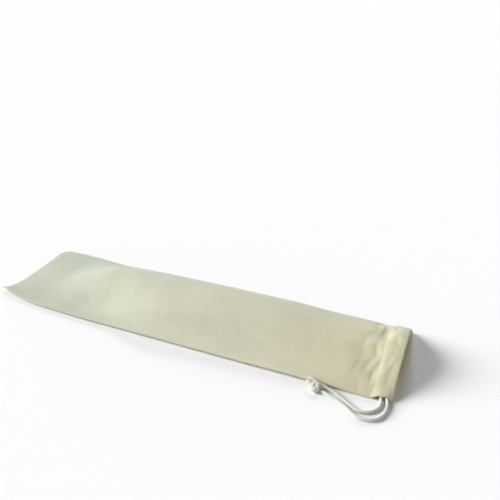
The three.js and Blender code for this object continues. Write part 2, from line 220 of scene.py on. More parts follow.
# Sections across the bag: its two edges, how far the layers stand apart, how high the ridge rises,
# and how it falls to each side.
SECTION_KEYS = ("x", "near", "far", "loft", "crown", "near_peak", "far_peak")
SECTIONS = [
    dict(zip(SECTION_KEYS, row))
    for row in [
        (-356, -72.5, 95, 0.2, 0, 1.3, 1.3),
        (-342, -78, 95, 2.4, 0, 1.3, 1.3),
        (-320, -84, 95, 4.6, 0.5, 1.3, 1.3),
        (-295, -89, 95, 5.4, 2, 1.25, 1.3),
        (-268, -91.5, 94, 5.0, 5.5, 1.15, 1.3),
        (-240, -93, 92, 4.0, 15, 1.05, 1.35),
        (-210, -94, 90, 3.0, 27, 1.0, 1.45),
        (-180, -95, 88, 2.0, 37, 0.98, 1.7),
        (-140, -95, 87, 1.0, 44, 1.08, 1.85),
        (-80, -95, 86, 1.0, 47.5, 1.5, 1.85),
        (0, -95, 86, 1.0, 50, 2.2, 1.8),
        (100, -95, 86, 1.0, 52, 2.1, 1.8),
        (180, -95, 86, 1.0, 51, 1.8, 1.8),
        (250, -95, 86, 1.0, 47.5, 1.8, 1.8),
        (310, -94, 86, 1.0, 47, 1.8, 1.8),
        (343, -92, 87, 1.0, 48.5, 1.8, 1.8),
        (357, -90, 88, 1.0, 48, 1.8, 1.8),
    ]
]

# Soft folds: where, how far along and across, and how deep. A negative depth is a ridge.
FOLDS = [
    {"x": 318, "y": 44, "along": 20, "across": 13, "depth": 3.5},
    {"x": 352, "y": 66, "along": 14, "across": 16, "depth": 2.5},
    {"x": 306, "y": -42, "along": 20, "across": 10, "depth": 3.0},
    {"x": 316, "y": -62, "along": 14, "across": 9, "depth": 2.8},
    {"x": 320, "y": -4, "along": 12, "across": 10, "depth": 2.2},
    {"x": 312, "y": 14, "along": 16, "across": 12, "depth": -1.2},
    {"x": -285, "y": -30, "along": 70, "across": 14, "depth": 1.6},
    {"x": -250, "y": -70, "along": 60, "across": 9, "depth": 1.2},
    {"x": -185, "y": -70, "along": 50, "across": 16, "depth": 2.0},
    {"x": -45, "y": -75, "along": 85, "across": 24, "depth": -9.0},
]

# Creases in the upper layer, from one point to another.
CREASES = [
    {"from": (-318, 76), "to": (-150, 74), "width": 3.5, "depth": 0.7},
    {"from": (-300, -58), "to": (-215, -76), "width": 5.0, "depth": 0.9},
    {"from": (-262, -50), "to": (-190, -72), "width": 6.0, "depth": 0.8},
    {"from": (-235, 60), "to": (-140, 72), "width": 6.0, "depth": 0.8},
    {"from": (-175, -36), "to": (-85, -44), "width": 5.0, "depth": 0.9},
    {"from": (-215, -25), "to": (-170, -68), "width": 8.0, "depth": 0.9},
    {"from": (40, -70), "to": (150, -66), "width": 7.0, "depth": 0.6},
    {"from": (215, -60), "to": (300, -52), "width": 6.0, "depth": 0.7},
    {"from": (285, -30), "to": (326, -38), "width": 4.0, "depth": 0.9},
    {"from": (-90, 6), "to": (120, 8), "width": 4.0, "depth": 0.9},
    {"from": (130, 5), "to": (318, 6), "width": 4.0, "depth": 1.1},
    {"from": (94, -50), "to": (162, -70), "width": 4.0, "depth": 0.7},
    {"from": (20, -83), "to": (64, -84), "width": 3.0, "depth": 0.5},
    {"from": (290, 30), "to": (326, 26), "width": 5.0, "depth": 0.7},
]

# Short puckers at the casing: where, half their length and width, how far they turn from lying
# across the bag, and how deep they are.
PUCKER_KEYS = ("x", "y", "long", "wide", "turn", "depth")
PUCKERS = [
    dict(zip(PUCKER_KEYS, row))
    for row in [
        (324, 5, 12, 4.5, 0.1, 1.9),
        (311, 20, 12, 5.0, -0.3, 1.7),
        (299, -62, 12, 4.5, 0.35, 1.5),
        (314, -54, 12, 4.5, 0.6, 1.9),
        (323, -66, 10, 4.0, 0.1, 1.6),
        (308, -86, 10, 5.0, -0.5, 1.1),
        (320, -33, 11, 4.5, -0.3, 1.7),
        (302, -18, 14, 6.0, 0.4, 1.1),
        (318, 62, 12, 4.5, 0.3, 1.6),
        (323, 38, 9, 4.0, -0.3, 1.4),
        (341, -46, 11, 4.0, 0.3, 1.2),
        (344, -12, 10, 4.0, -0.2, 1.0),
        (339, 26, 12, 4.5, 0.2, 1.2),
        (345, -72, 8, 4.0, -0.3, 0.8),
        (329, 0, 11, 5.5, 0.15, 1.7),
        (329, -55, 12, 5.5, 0.2, 1.9),
        (347, -58, 11, 5.0, 0.2, 1.6),
    ]
]

CREASE_RUN_OUT = 0.2  # past its ends, as a share of its length
PUCKER_REACH = 3  # in half lengths

# Noise in the upper layer: its wavelengths along and across the bag, its seed and its height.
NOISE_KEYS = ("along", "across", "seed", "height")
GATHER_NOISE = [
    dict(zip(NOISE_KEYS, row))
    for row in [
        (60, 9, 3.7, 1.0),
        (35, 4.5, 9.1, 0.6),
    ]
]
SLACK_NOISE = [
    dict(zip(NOISE_KEYS, row))
    for row in [
        (75, 40, 0.3, 0.9),
        (22, 15, 5.1, 0.3),
    ]
]

# What raises and sinks the upper layer around the stitching and the seams.
GATHERS = {"height": 1.1, "reach": 11}
SUNK = {"before": 5, "width": 9, "depth": 0.5, "uneven": 0.8}
SIDE_ALLOWANCE = {"width": 9, "step": 3.5, "height": 0.55, "x": (STITCH_X, STITCH_X - 8)}
END_ALLOWANCE = {"width": 9, "step": 4, "height": 0.5}
EDGE_RIPPLE = {"along": 9, "seed": 7.7, "height": 0.35, "reach": 5}
RELIEF_STARTS = {"edge": 4, "end": 12}
SOFT_EDGE = (1, 0.8)  # folds run out towards the edges
FIRM_EDGE = (1, 0.98)  # and the casing's fullness close to them

# Rows of the mesh along the bag, in runs of equal steps.
RUNS = [
    (CLOSED_X + 4, 4),
    (CLOSED_X + CORNER_R, 7),
    (-130, 60),
    (250, 90),
    (STITCH_X - 14, 24),
    (SLIT["from"], 14),
    (SLIT["to"], 20),
    (MOUTH_X, 3),
]
ACROSS = 72  # steps across each layer
CROWDING = 0.5  # how much they crowd towards the edges
FINE_INSIDE = 280  # from here on, the inside has every row
RIM_STEPS = 4
RIM_OUT = 1.1  # how far the rim rounds out, in thicknesses of cloth
TURN_DEPTH = 1.5  # from the rim to where the turned cloth's hidden side ends
SLOPE_STEP = 0.5  # over which the upper layer's slope is measured
STEEPEST = 2.5  # the most that a slope thickens the layer
MEETING = 0.1  # closer than this, the two layers are one
EPSILON = 0.01


def clamp01(t):
    return min(max(t, 0.0), 1.0)


def smooth(t):
    """From 0 to 1 as t goes from 0 to 1, level at both ends."""
    t = clamp01(t)
    return t * t * (3 - 2 * t)


def ramp(span, v):
    """From 0 at the first number of a span to 1 at its second, and the same beyond them."""
    start, full = span
    return clamp01((v - start) / (full - start))


def bell(distance, width):
    """1 at no distance, and almost 0 from twice the width."""
    return math.exp(-((distance / width) ** 2))


def hermite(a, slope_a, b, slope_b, t):
    """A cubic from a to b with these slopes, of numbers or vectors."""
    return (
        a * (2 * t**3 - 3 * t**2 + 1)
        + slope_a * (t**3 - 2 * t**2 + t)
        + b * (3 * t**2 - 2 * t**3)
        + slope_b * (t**3 - t**2)
    )


# ---- The shape of the cloth ----
def section_at(x):
    """A row of SECTIONS at any x, eased from row to row."""
    last = len(SECTIONS) - 2
    k = next((i - 1 for i, row in enumerate(SECTIONS) if row["x"] > x), last)
    k = max(k, 0)
    a, b = SECTIONS[k], SECTIONS[k + 1]
    before, after = SECTIONS[max(k - 1, 0)], SECTIONS[min(k + 2, last + 1)]
    span = b["x"] - a["x"]
    t = clamp01((x - a["x"]) / span)
    row = {}
    for key in SECTION_KEYS[1:]:
        slope_a = 0 if k == 0 else (b[key] - before[key]) / (b["x"] - before["x"]) * span
        slope_b = 0 if k == last else (after[key] - a[key]) / (after["x"] - a["x"]) * span
        row[key] = hermite(a[key], slope_a, b[key], slope_b, t)
    from_end = min(x - CLOSED_X, CORNER_R)
    row["far"] -= CORNER_R - math.sqrt(CORNER_R**2 - (CORNER_R - from_end) ** 2)
    return row


def casing_fill(x):
    """How full the casing is at x, from 0 at the stitching and the mouth to 1 between them."""
    return max(math.sin(math.pi * ramp((STITCH_X, MOUTH_X), x)), 0.0) ** FILL_SHARPNESS


def groove(x):
    """How deep the casing's stitching draws each layer in."""
    return GROOVE["depth"] * bell(x - STITCH_X, GROOVE["width"])


def underside(x, y):
    """Height of the lower layer's outer face."""
    wave = WAVE["height"] * bell(x - WAVE["x"], WAVE["along"])
    hover = (HOVER["height"] + wave) * smooth(ramp(HOVER["x"], x)) * ramp(HOVER["y"], y) ** 2
    folded_edge = FOLDED_EDGE["height"] * ramp(FOLDED_EDGE["y"], y) ** 2
    tip = TIP["lift"] * (ramp(TIP["x"], x) * ramp(TIP["lift_y"], y)) ** TIP["bend"]
    return hover + folded_edge + tip + groove(x)


def crease_depth(x, y):
    """How deep all the creases are at a place."""
    depth = 0.0
    for crease in CREASES:
        (ax, ay), (bx, by) = crease["from"], crease["to"]
        dx, dy = bx - ax, by - ay
        t = ((x - ax) * dx + (y - ay) * dy) / (dx * dx + dy * dy)
        if not -CREASE_RUN_OUT < t < 1 + CREASE_RUN_OUT:
            continue
        aside = ((x - ax) * dy - (y - ay) * dx) / math.hypot(dx, dy)
        along = math.sin(math.pi * clamp01((t + CREASE_RUN_OUT) / (1 + 2 * CREASE_RUN_OUT)))
        depth += crease["depth"] * along * bell(aside, crease["width"])
    return depth


def pucker_depth(x, y):
    """How deep all the puckers are at a place."""
    depth = 0.0
    for p in PUCKERS:
        dx, dy = x - p["x"], y - p["y"]
        if abs(dx) + abs(dy) > PUCKER_REACH * p["long"]:
            continue
        along = dy * math.cos(p["turn"]) + dx * math.sin(p["turn"])
        aside = dx * math.cos(p["turn"]) - dy * math.sin(p["turn"])
        depth += p["depth"] * math.exp(-((along / p["long"]) ** 2) - (aside / p["wide"]) ** 2)
    return depth


def noise_sum(layers, x, y):
    """Layers of noise, stretched along or across the bag."""
    return sum(
        layer["height"] * noise.noise(Vector((x / layer["along"], y / layer["across"], layer["seed"])))
        for layer in layers
    )


def relief(x, y, near, far):
    """Small unevenness of the upper layer: puckers at the casing's stitching, the seam allowances
    showing through along the seams, and slack cloth."""
    from_near, from_stitch, from_end = y - near, x - STITCH_X, x - CLOSED_X
    gather = noise_sum(GATHER_NOISE, x, y)
    height = -pucker_depth(x, y)
    height += GATHERS["height"] * gather * math.exp(-abs(from_stitch) / GATHERS["reach"])
    sunk = SUNK["depth"] + SUNK["uneven"] * gather
    height -= sunk * bell(from_stitch + SUNK["before"], SUNK["width"])
    height -= GROOVE["upper"] * groove(x)
    height += noise_sum(SLACK_NOISE, x, y)

    allowance = 1 - smooth((from_near - SIDE_ALLOWANCE["width"]) / SIDE_ALLOWANCE["step"])
    height += SIDE_ALLOWANCE["height"] * allowance * ramp(SIDE_ALLOWANCE["x"], x)
    ripple = noise.noise(Vector((x / EDGE_RIPPLE["along"], 0.0, EDGE_RIPPLE["seed"])))
    height += EDGE_RIPPLE["height"] * ripple * math.exp(-from_near / EDGE_RIPPLE["reach"])
    end_allowance = 1 - smooth((from_end - END_ALLOWANCE["width"]) / END_ALLOWANCE["step"])
    height += END_ALLOWANCE["height"] * end_allowance

    inside = clamp01(min(from_near, far - y) / RELIEF_STARTS["edge"])
    return height * inside * smooth(from_end / RELIEF_STARTS["end"])


def fullness(x, y, row):
    """How far the upper layer's outer face is above the lower one's."""
    near, far = row["near"], row["far"]
    reach = RIDGE_Y - near if y < RIDGE_Y else far - RIDGE_Y
    from_ridge = clamp01(abs(y - RIDGE_Y) / reach)
    from_middle = clamp01(abs(2 * (y - near) / (far - near) - 1))
    peak = row["near_peak" if y < RIDGE_Y else "far_peak"]
    cloth = 2 * EDGE + row["loft"] * (1 - from_middle**LOFT_SHARPNESS)
    cloth += row["crown"] * (1 - from_ridge**peak)

    turn = 0.0
    if y > 0:
        turn = TURN["height"] * from_middle ** TURN["rise"] * (1 - from_middle ** TURN["fall"])
    drawstring = casing_fill(x) * (CORD_RISE + turn) * ramp(FIRM_EDGE, from_middle)

    from_slit = ramp((SLIT_LIPS["width"], 0), y - near)
    lips = SLIT_LIPS["height"] * smooth(ramp(SLIT_LIPS["x"], x)) * from_slit**2
    lips *= 1 - SLIT_LIPS_CLOSE["by"] * smooth(ramp(SLIT_LIPS_CLOSE["x"], x))

    fold = crease_depth(x, y)
    for f in FOLDS:
        apart = ((x - f["x"]) / f["along"]) ** 2 + ((y - f["y"]) / f["across"]) ** 2
        fold += f["depth"] * math.exp(-apart)
    soft = ramp(SOFT_EDGE, from_middle)
    return cloth + drawstring + lips - fold * soft + relief(x, y, near, far)


def place(x, y, z, lip):
    """A point of the cloth, with the bag's true outline: the tip and the waist of the closed end,
    and a mouth whose lips bulge by lip."""
    tip = TIP["out"] * ramp(TIP["x"], x) ** 2 * ramp(TIP["out_y"], y) ** 2
    near_mouth = smooth(ramp((MOUTH_X - 2 * HEM, MOUTH_X), x))
    bulge = lip * near_mouth * (1 - (y / LIP_HALF_WIDTH) ** 2)
    waist = WAIST["by"] * (1 - (y / WAIST["half"]) ** 2) * ramp(WAIST["x"], x)
    return Vector((x - tip + waist + bulge, y, z))


def across(row, inset_near, inset_far, i):
    """Y of step i of 0..ACROSS."""
    t = i / ACROSS
    middle = (row["near"] + inset_near + row["far"] - inset_far) / 2
    half = (row["far"] - inset_far - row["near"] - inset_near) / 2
    return middle + half * ((1 - CROWDING) * (2 * t - 1) - CROWDING * math.cos(math.pi * t))


def heights(x, y, row, depth):
    """Height of the lower and the upper layer, depth below their outer faces."""
    top = underside(x, y) + fullness(x, y, row)
    if not depth:
        return underside(x, y), top
    beside = y + SLOPE_STEP
    rise = underside(x, beside) + fullness(x, beside, row) - top
    slant = min(math.hypot(1, rise / SLOPE_STEP), STEEPEST)
    return underside(x, y) + depth, top - depth * slant


def loop_at(x, depth, inset_near, inset_far):
    """A loop across the bag, depth inside its outer face: over the top from the near edge and
    back underneath. The near edge comes twice, as its upper and its lower lip."""
    row = section_at(x)
    over, under = [], []
    for i in range(ACROSS + 1):
        y = across(row, inset_near, inset_far, i)
        low, high = heights(x, y, row, depth)
        if high < low + MEETING:
            low = high = (low + high) / 2
        over.append(place(x, y, high, UPPER_LIP))
        under.append(place(x, y, low, LOWER_LIP))
    far = (over[-1] + under[-1]) / 2
    seam = (over[0] + under[0]) / 2
    if not SLIT["from"] < x < SLIT["to"] - EPSILON:
        over[0] = under[0] = seam
    return over[:-1] + [far] + under[-2::-1]


# ---- Mesh code ----
def lengths_along(points):
    """The length of the line through the points, from the first one to each."""
    lengths = [0.0]
    for a, b in zip(points, points[1:]):
        lengths.append(lengths[-1] + (b - a).length)
    return lengths


def span_at(lengths, want):
    """The span of a line that holds a length, and how far into the span it is."""
    k = min(bisect_left(lengths, want, 1), len(lengths) - 1) - 1
    return k, (want - lengths[k]) / (lengths[k + 1] - lengths[k])


def make_object(name, vertices, faces, material, uvs):
    """An object in metres from vertices in millimetres. uvs has one list for each face."""
    mesh = bpy.data.meshes.new(name)
    mesh.from_pydata([v * MM for v in vertices], [], faces)
    layer = mesh.uv_layers.new(name="flat")
    for polygon, corners in zip(mesh.polygons, uvs):
        for loop_index, uv in zip(polygon.loop_indices, corners):
            layer.data[loop_index].uv = uv
    mesh.polygons.foreach_set("use_smooth", [True] * len(mesh.polygons))
    mesh.materials.append(material)
    obj = bpy.data.objects.new(name, mesh)
    bpy.context.scene.collection.objects.link(obj)
    return obj


def row_places():
    """The x of every row of the outer layer."""
    xs = [CLOSED_X]
    for to, steps in RUNS:
        start = xs[-1]
        xs += [start + (to - start) * (i + 1) / steps for i in range(steps)]
    return xs


def casing_wall(x):
    """Thickness of the whole casing at x, from the outer face to the inner one."""
    return 2 * CLOTH + LAYER_GAP + (CASING - 2 * CLOTH) * casing_fill(x)


def bag_loops():
    """Every loop of the shell in the order of the cloth's surface, each with its x: the outer face
    to the mouth, the rim, the casing's inner face, its raw edge, its hidden face back to the mouth,
    and the outer layer's inner face back to the closed end."""
    xs = row_places()
    hollow_x, turn_x = CLOSED_X + END_SEAM, MOUTH_X - TURN_DEPTH
    casing_xs = [x for x in xs if x >= RAW_X]
    hidden_xs = [x for x in casing_xs if x < turn_x]
    inside_xs = [x for k, x in enumerate(xs) if x > FINE_INSIDE or k % 2]
    inside_xs = [hollow_x] + [x for x in inside_xs if hollow_x + END_SEAM / 2 < x < turn_x]

    def turned_inset(x):
        return TURNED_INSET + (CASING_INSET - TURNED_INSET) * casing_fill(x)

    def facing_loop(x):
        return loop_at(x, casing_wall(x), turned_inset(x), turned_inset(x))

    def hidden_loop(x):
        inset = turned_inset(x) - CLOTH
        return loop_at(x, casing_wall(x) - CLOTH, inset, inset)

    def inner_loop(x):
        inset = OPEN_INSET + (SEAM_INSET - OPEN_INSET) * ramp(SEAM_OPENS, x)
        return loop_at(x, CLOTH, inset, inset)

    outer = [(x, loop_at(x, 0, 0, 0)) for x in xs]
    facing = [(x, facing_loop(x)) for x in reversed(casing_xs)]
    rim = []
    for k in range(1, RIM_STEPS):
        angle = math.pi * k / RIM_STEPS
        out = Vector((math.sin(angle) * CLOTH * RIM_OUT, 0, 0))
        turned = (1 - math.cos(angle)) / 2
        rim.append((MOUTH_X, [a.lerp(b, turned) + out for a, b in zip(outer[-1][1], facing[0][1])]))
    hidden = [(x, hidden_loop(x)) for x in hidden_xs]
    inner = [(x, inner_loop(x)) for x in reversed(inside_xs)]
    return outer, rim, facing, hidden, inner


def row_vertices(rows, joined_rows):
    """All vertices, and the vertex of each place in each row. A row of the outer layer has two at
    the near edge where the seam is open. Any other row closes there in one."""
    vertices, at = [], []
    for k, (_, loop) in enumerate(rows):
        ids = list(range(len(vertices), len(vertices) + len(loop) - 1))
        if k not in joined_rows and (loop[0] - loop[-1]).length > EPSILON:
            vertices += loop
            at.append(ids + [ids[-1] + 1])
        else:
            vertices += [(loop[0] + loop[-1]) / 2] + loop[1:-1]
            at.append(ids + [ids[0]])
    return vertices, at


def skin_faces(rows, at):
    """The cloth's surface, from row to row. Its UVs are lengths along and around it, in metres."""
    along = lengths_along([loop[ACROSS // 2] for _, loop in rows])
    around = [lengths_along(loop) for _, loop in rows]
    for k in range(len(rows) - 1):
        for i in range(2 * ACROSS):
            corners = [(k, i), (k + 1, i), (k + 1, i + 1), (k, i + 1)]
            yield [(at[r][c], (along[r] * MM, around[r][c] * MM)) for r, c in corners], False


def slit_faces(outer, inner, inner_start, at):
    """The lips of the slit, which join the outer layer's two faces."""
    outer_rows = {round(x, 3): k for k, (x, _) in enumerate(outer)}
    lip_rows = sorted(
        (outer_rows[round(x, 3)], inner_start + k)
        for k, (x, _) in enumerate(inner)
        if SLIT["from"] - EPSILON <= x <= SLIT["to"] + EPSILON
    )
    for (a, b), (c, d) in zip(lip_rows, lip_rows[1:]):
        for lip in (0, 2 * ACROSS):
            corners = [at[a][lip], at[c][lip], at[d][lip], at[b][lip]]
            yield [(vertex, (0, 0)) for vertex in corners], lip == 0


def end_faces(vertices, at):
    """The closed end, outside and inside."""
    last = 2 * ACROSS
    for k in (0, len(at) - 1):
        for i in range(ACROSS):
            back, next_back = (last - i) % last, (last - i - 1) % last
            corners = [at[k][i], at[k][back], at[k][next_back], at[k][i + 1]]
            yield [(v, (vertices[v].x * MM, vertices[v].y * MM)) for v in corners], k == 0


def bag_mesh(material):
    """The whole shell of cloth."""
    outer, rim, facing, hidden, inner = bag_loops()
    rows = outer + rim + facing + hidden + inner
    inner_start = len(rows) - len(inner)
    vertices, at = row_vertices(rows, range(len(outer), inner_start))
    parts = [skin_faces(rows, at), slit_faces(outer, inner, inner_start, at), end_faces(vertices, at)]
    faces, uvs = [], []
    for corners, flip in itertools.chain(*parts):
        uv_of = {}
        for vertex, uv in corners:
            uv_of.setdefault(vertex, uv)
        ids = list(uv_of)[::-1] if flip else list(uv_of)
        if len(ids) < 3:  # the layers meet here
            continue
        faces.append(ids)
        uvs.append([uv_of[vertex] for vertex in ids])
    return make_object("bag_cloth", vertices, faces, material, uvs)


# ---- Curves and cords ----
PLAIT = {
    "strands": 6,
    "pitch": 2.6,
    "relief": 0.42,
    "under": 0.35,  # height of a strand where another crosses it
    "cut": 0.86,  # width of the cord's cut ends
    "sides": 40,
    "step": 0.42,
}
DOME = 0.12  # height of a tube's ends, in radii

# Points that a curve gets between two of its own.
STRAND_STEPS = 24
CORD_STEPS = 16
HEM_STEPS = 8


def centripetal(points, per_span):
    """A centripetal Catmull-Rom curve through the points, as the solids' cords follow it."""
    points = [Vector(p) for p in points]
    ends = [points[0] * 2 - points[1]] + points + [points[-1] * 2 - points[-2]]
    line = []
    for k in range(1, len(ends) - 2):
        p0, p1, p2, p3 = ends[k - 1 : k + 3]
        d0, d1, d2 = ((p1 - p0).length ** 0.5, (p2 - p1).length ** 0.5, (p3 - p2).length ** 0.5)
        t1 = (p1 - p0) / d0 - (p2 - p0) / (d0 + d1) + (p2 - p1) / d1
        t2 = (p2 - p1) / d1 - (p3 - p1) / (d1 + d2) + (p3 - p2) / d2
        t1, t2 = t1 * d1, t2 * d1
        line += [hermite(p1, t1, p2, t2, j / per_span) for j in range(per_span)]
    line.append(points[-1])
    return line


def even(line, step):
    """The same line in equal steps of about that length."""
    lengths = lengths_along(line)
    count = max(round(lengths[-1] / step), 2)
    out = []
    for i in range(count + 1):
        k, t = span_at(lengths, lengths[-1] * i / count)
        out.append(line[k].lerp(line[k + 1], t))
    return out


def strand_arch(t):
    """Height of a round strand across its width, 0 to 1."""
    return math.sqrt(max(1 - (2 * (t % 1) - 1) ** 2, 0))


def plait_height(angle, along):
    """Relief of a plaited cord, 0 to 1: two families of strands that cross over and under."""
    turn = PLAIT["strands"] * angle / (2 * math.pi)
    right, left = turn + along / PLAIT["pitch"], turn - along / PLAIT["pitch"]
    over, under = strand_arch(left), strand_arch(right)
    if (math.floor(right) + math.floor(left)) % 2:
        over, under = under, over
    return max(over, PLAIT["under"] * under)


def tube(line, sides, radius_at, first_side=None):
    """Vertices, faces and UVs of a closed tube. radius_at(k, angle, along) is its radius at point
    k of the line, and its two ends are slightly domed."""
    n = len(line)
    tangents = [(line[min(k + 1, n - 1)] - line[max(k - 1, 0)]).normalized() for k in range(n)]
    side = first_side or tangents[0].orthogonal().normalized()
    alongs = lengths_along(line)
    vertices, faces, uvs = [], [], []
    for k, (point, tangent) in enumerate(zip(line, tangents)):
        side = (side - tangent * side.dot(tangent)).normalized()
        up = tangent.cross(side)
        for i in range(sides):
            angle = 2 * math.pi * i / sides
            out = side * math.cos(angle) + up * math.sin(angle)
            vertices.append(point + out * radius_at(k, angle, alongs[k]))
    girth = 2 * math.pi * radius_at(n // 2, 0.0, alongs[n // 2])
    for k in range(n - 1):
        for i in range(sides):
            j = (i + 1) % sides
            faces.append([k * sides + i, k * sides + j, (k + 1) * sides + j, (k + 1) * sides + i])
            start, end = alongs[k] * MM, alongs[k + 1] * MM
            left, right = girth * i / sides * MM, girth * (i + 1) / sides * MM
            uvs.append([(start, left), (start, right), (end, right), (end, left)])
    for k, flip in [(0, True), (n - 1, False)]:
        centre = len(vertices)
        dome = DOME * radius_at(k, 0.0, alongs[k])
        vertices.append(line[k] + tangents[k] * (-dome if flip else dome))
        for i in range(sides):
            ids = [k * sides + i, k * sides + (i + 1) % sides, centre]
            faces.append(ids[::-1] if flip else ids)
            uvs.append([(0, 0), (0, MM), (MM, 0)])
    return vertices, faces, uvs


def plaited(line, diameter):
    """A tube with a plaited surface."""
    last = len(line) - 1

    def radius_at(k, angle, along):
        radius = diameter / 2 - PLAIT["relief"] * (1 - plait_height(angle, along))
        return radius * (PLAIT["cut"] if k in (0, last) else 1)

    return tube(line, PLAIT["sides"], radius_at)


def joined(parts):
    """The vertices, faces and UVs of several parts as one."""
    vertices, faces, uvs = [], [], []
    for part_vertices, part_faces, part_uvs in parts:
        shift = len(vertices)
        vertices += part_vertices
        faces += [[i + shift for i in face] for face in part_faces]
        uvs += part_uvs
    return vertices, faces, uvs


# The free strands, from the slit to the knot: the same routes as their solids'.
OUTER_ROUTE = [
    (344.96, -76.26, 4.5),
    (344.8, -78.9, 4.5),
    (347.2, -83.4, 4.4),
    (350.2, -88.3, 4.4),
    (352.4, -93.5, 4.1),
    (353.8, -99.5, 3.2),
    (354.4, -106, 2.7),
    (354.2, -114, 2.6),
    (352, -123, 2.6),
    (347, -131, 2.6),
    (339, -136.5, 2.6),
    (330, -139, 2.6),
    (320, -138.5, 2.6),
    (310, -133, 2.6),
    (298, -124.5, 2.6),
    (285, -117.5, 2.6),
    (272, -112.5, 2.6),
    (262, -108.5, 2.9),
]
INNER_ROUTE = [
    (344.16, -76.2, 12.13),
    (344.06, -78.3, 10.54),
    (342.8, -82.3, 8.1),
    (342.2, -86.5, 5.8),
    (342.9, -91, 4.6),
    (344.2, -96.5, 3.6),
    (344.9, -102, 2.8),
    (344.4, -108, 2.6),
    (341.5, -114.5, 2.6),
    (336, -121, 2.6),
    (328, -125.5, 2.6),
    (319, -126.5, 2.6),
    (309, -122.5, 2.6),
    (298, -115.5, 2.6),
    (288, -109.5, 2.8),
    (278, -104.5, 3.6),
    (269, -101.8, 5.0),
    (262, -101.0, 7.0),
]

# The drawstring's ring inside the casing: from edge to edge, and round its turn at the fold.
CASING_X = MOUTH_X - HEM / 2
RING = {
    "near_inset": 16,
    "far_inset": 22,
    "turn_inset": 12.5,
    "turn_height": 9.4,
    "steps_over": 8,
    "steps_under": 6,
}

# Both strands make the same trefoil side by side, wound on a ring that leans a little.
KNOT = {
    "center": (250.5, -106.5, 6.1),
    "gap": 0.1,  # from the end of a strand
    "lead": 2.8,  # how far a strand goes straight on before its first turn
    "cord": 4.3,  # the cord's diameter where it is pulled tight
    "ring": 4.5,
    "tube": 2.0,  # how far the trefoil winds round the ring
    "beside": 1.8,  # from the trefoil's middle line to each strand's
    "narrow": 0.85,  # the ring's width along X
    "tilt": 0.3,
    "open": 0.2,  # half the trefoil's opening, where the strands enter and leave
    "points": 22,
}
# Each strand's side, its route to the knot, and its tail.
KNOT_ENDS = [
    (-1, OUTER_ROUTE, [(241.5, -103.5, 9.4), (235.0, -102.0, 9.0)]),
    (1, INNER_ROUTE, [(242.5, -97.5, 11.6), (236.0, -96.0, 11.4)]),
]


def path_length(path):
    return sum((Vector(b) - Vector(a)).length for a, b in zip(path, path[1:]))


def strand(name, route, material):
    """A free strand, and its middle line in metres."""
    line = even(centripetal(route, STRAND_STEPS), PLAIT["step"])
    vertices, faces, uvs = plaited(line, CORD)
    obj = make_object(name, vertices, faces, material, uvs)
    return obj, [tuple(p * MM) for p in line]


def ring_points():
    """Round inside the casing: over the top, around the fold and back underneath."""
    row = section_at(CASING_X)
    first = row["near"] + RING["near_inset"]
    last = row["far"] - RING["far_inset"]
    points = []
    for i in range(RING["steps_over"] + 1):
        y = first + (last - first) * i / RING["steps_over"]
        _, high = heights(CASING_X, y, row, CASING / 2)
        points.append(place(CASING_X, y, high, UPPER_LIP))
    points.append(place(CASING_X, row["far"] - RING["turn_inset"], RING["turn_height"], LOWER_LIP))
    for i in range(RING["steps_under"] + 1):
        y = last + (first - last) * i / RING["steps_under"]
        points.append(place(CASING_X, y, CASING / 2, LOWER_LIP))
    return points


def hidden_cord(material):
    """The drawstring inside the casing, with coarser steps, because it barely shows."""
    line = even(centripetal(ring_points(), CORD_STEPS), 2 * PLAIT["step"])
    vertices, faces, uvs = plaited(line, CORD)
    return make_object("drawstring_hidden", vertices, faces, material, uvs)


def knot_line(side, route, tail):
    """One strand's way through the knot: a trefoil on a small ring, then its tail."""
    before, last = Vector(route[-2]), Vector(route[-1])
    onward = (last - before).normalized()
    points = [last + onward * KNOT["gap"], last + onward * KNOT["lead"]]
    lean = Matrix.Rotation(KNOT["tilt"], 3, "X")
    for i in range(KNOT["points"] + 1):
        phi = KNOT["open"] + (2 * math.pi - 2 * KNOT["open"]) * i / KNOT["points"]
        around = 2 * phi + math.pi / 2
        beside = side * KNOT["beside"]
        out = KNOT["ring"] + KNOT["tube"] * math.cos(3 * phi) - beside * math.sin(3 * phi)
        up = KNOT["tube"] * math.sin(3 * phi) + beside * math.cos(3 * phi)
        on_ring = Vector((out * math.cos(around) * KNOT["narrow"], out * math.sin(around), up))
        points.append(lean @ on_ring + Vector(KNOT["center"]))
    points += [Vector(p) for p in tail]
    return even(centripetal(points, CORD_STEPS), PLAIT["step"])


def knot(material):
    """Both strands tied together."""
    parts = [plaited(knot_line(*end), KNOT["cord"]) for end in KNOT_ENDS]
    vertices, faces, uvs = joined(parts)
    return make_object("knot_tied", vertices, faces, material, uvs)


# ---- Stitches ----
STITCH = {"length": 2.5, "pitch": 3.3, "radius": 0.3, "sides": 6, "rings": 5}
STITCH_ARCH = {"low": -0.75, "rise": 1.5}  # in radii
STITCH_END = 0.55  # width of a stitch where it enters the cloth
STITCHING = {"from_edge": 3, "steps": 160}
NORMAL_STEP = 0.6  # over which the cloth's slope is measured
SLIT_HEM = {
    "radius": 0.7,
    "sides": 12,
    "steps": 16,
    "x": (SLIT["from"] - 1.5, SLIT["to"] + 2),
    "inset": 0.3,
    "end": 0.45,  # width of its ends
    "taper": 0.35,
    "step": 0.5,
}


def stitch(start, end, normal):
    """One stitch: a short thread that comes out of the cloth, arches and goes back in."""
    along, radius, last = end - start, STITCH["radius"], STITCH["rings"] - 1

    def arch(k):
        return math.sin(math.pi * k / last)

    def out(k):
        return normal * radius * (STITCH_ARCH["rise"] * arch(k) + STITCH_ARCH["low"])

    def radius_at(k, angle, along):
        return radius * (STITCH_END + (1 - STITCH_END) * arch(k))

    line = [start + along * k / last + out(k) for k in range(last + 1)]
    return tube(line, STITCH["sides"], radius_at, along.cross(normal).normalized())


